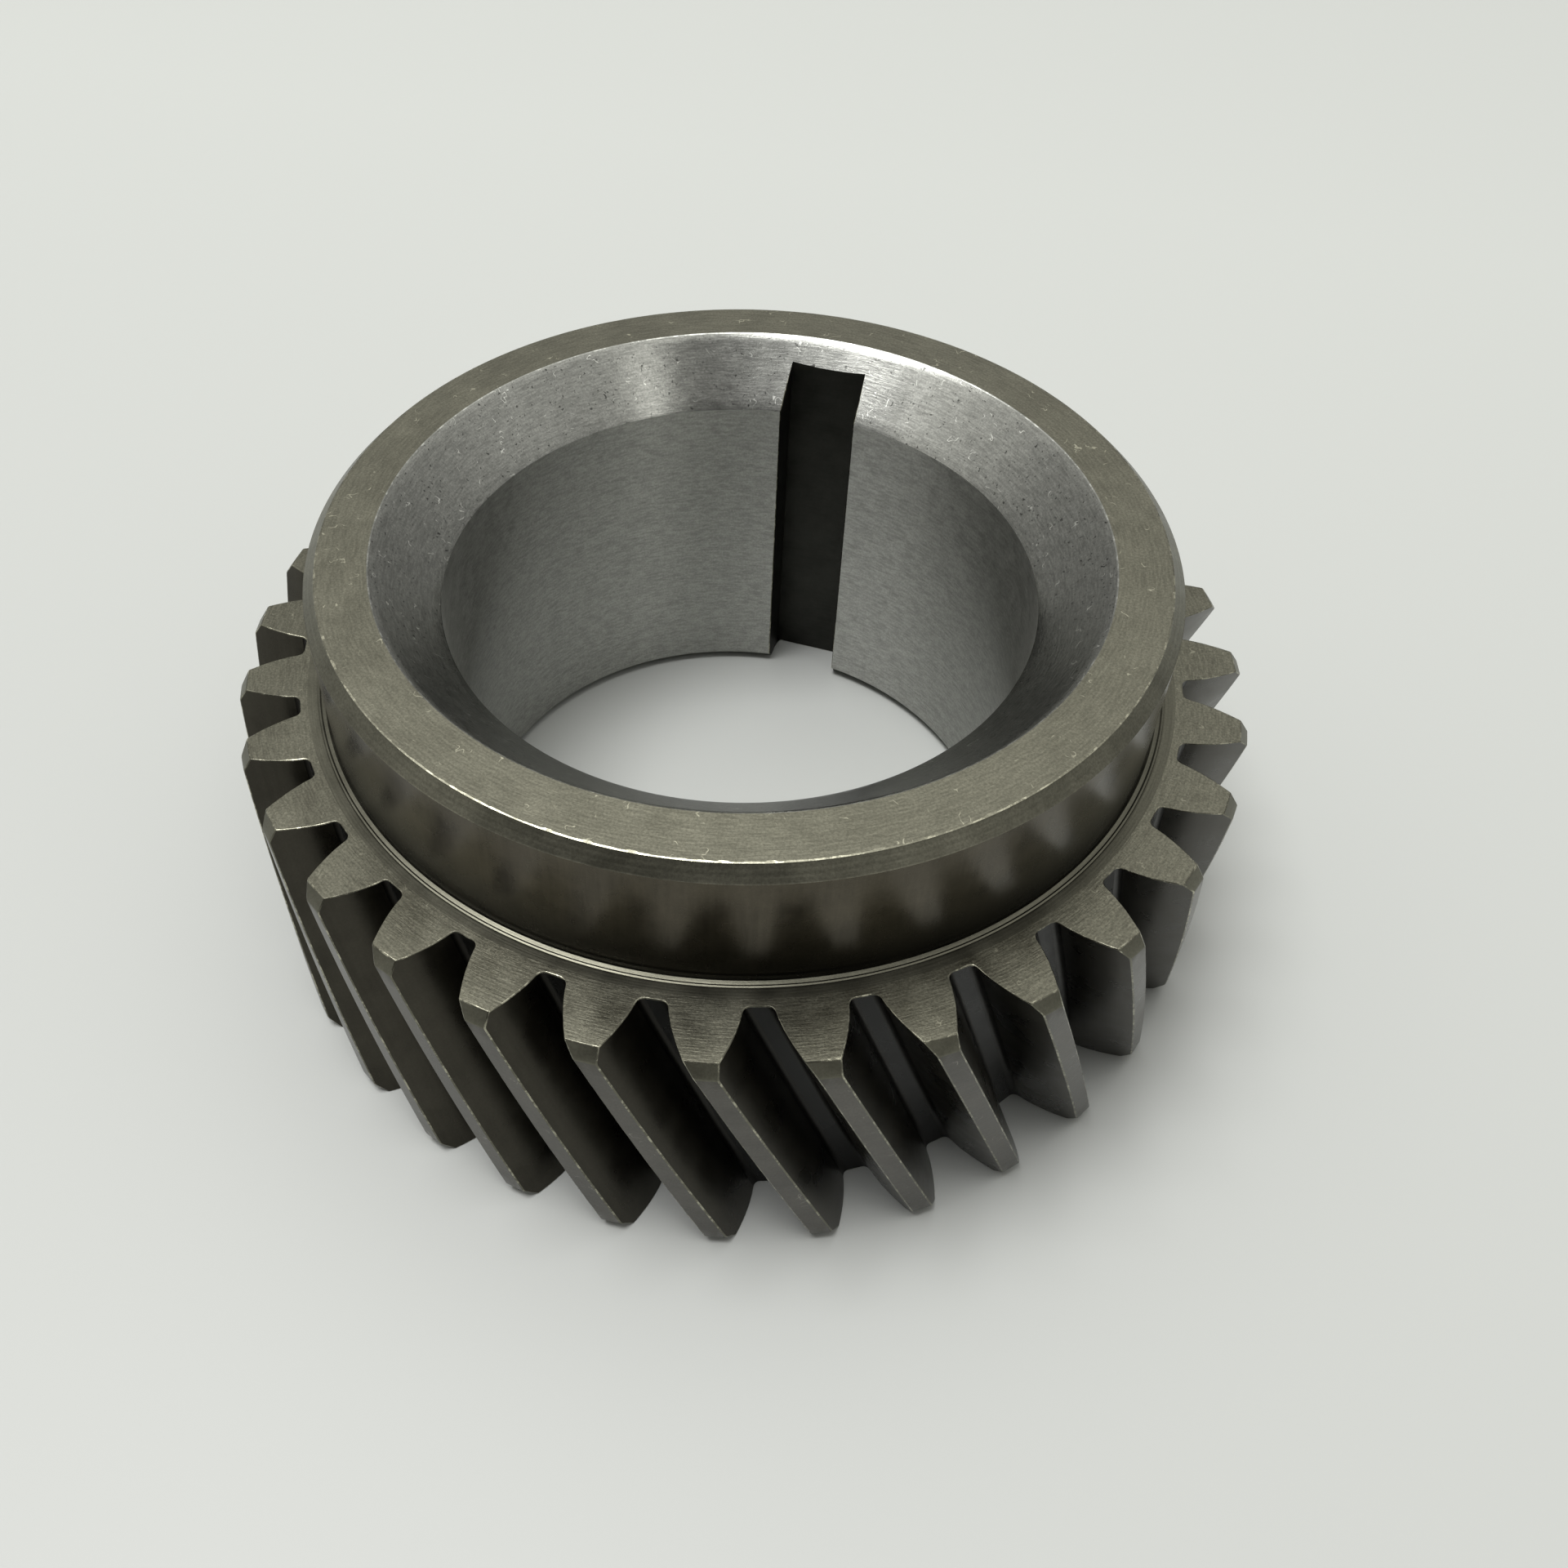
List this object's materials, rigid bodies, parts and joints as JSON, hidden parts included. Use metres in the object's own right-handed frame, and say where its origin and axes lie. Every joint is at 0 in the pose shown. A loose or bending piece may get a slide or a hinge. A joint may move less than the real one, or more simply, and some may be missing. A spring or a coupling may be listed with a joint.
{
  "type": "helical timing gear",
  "caption": "One-piece helical timing gear with an integral collar, a keyed bore and a conical bore mouth.",
  "frame": {"origin": "on the bore axis at the lower toothed face", "axes": "+Z along the bore axis from the lower face through the collar; +Y from the axis to the middle of the keyway"},
  "size_m": [0.073, 0.073, 0.032],
  "materials": {
    "hardened_steel": "machined and heat-treated steel, darkened, oiled"
  },
  "bodies": {
    "root": {"helical_gear": "hardened_steel"}
  },
  "joints": []
}
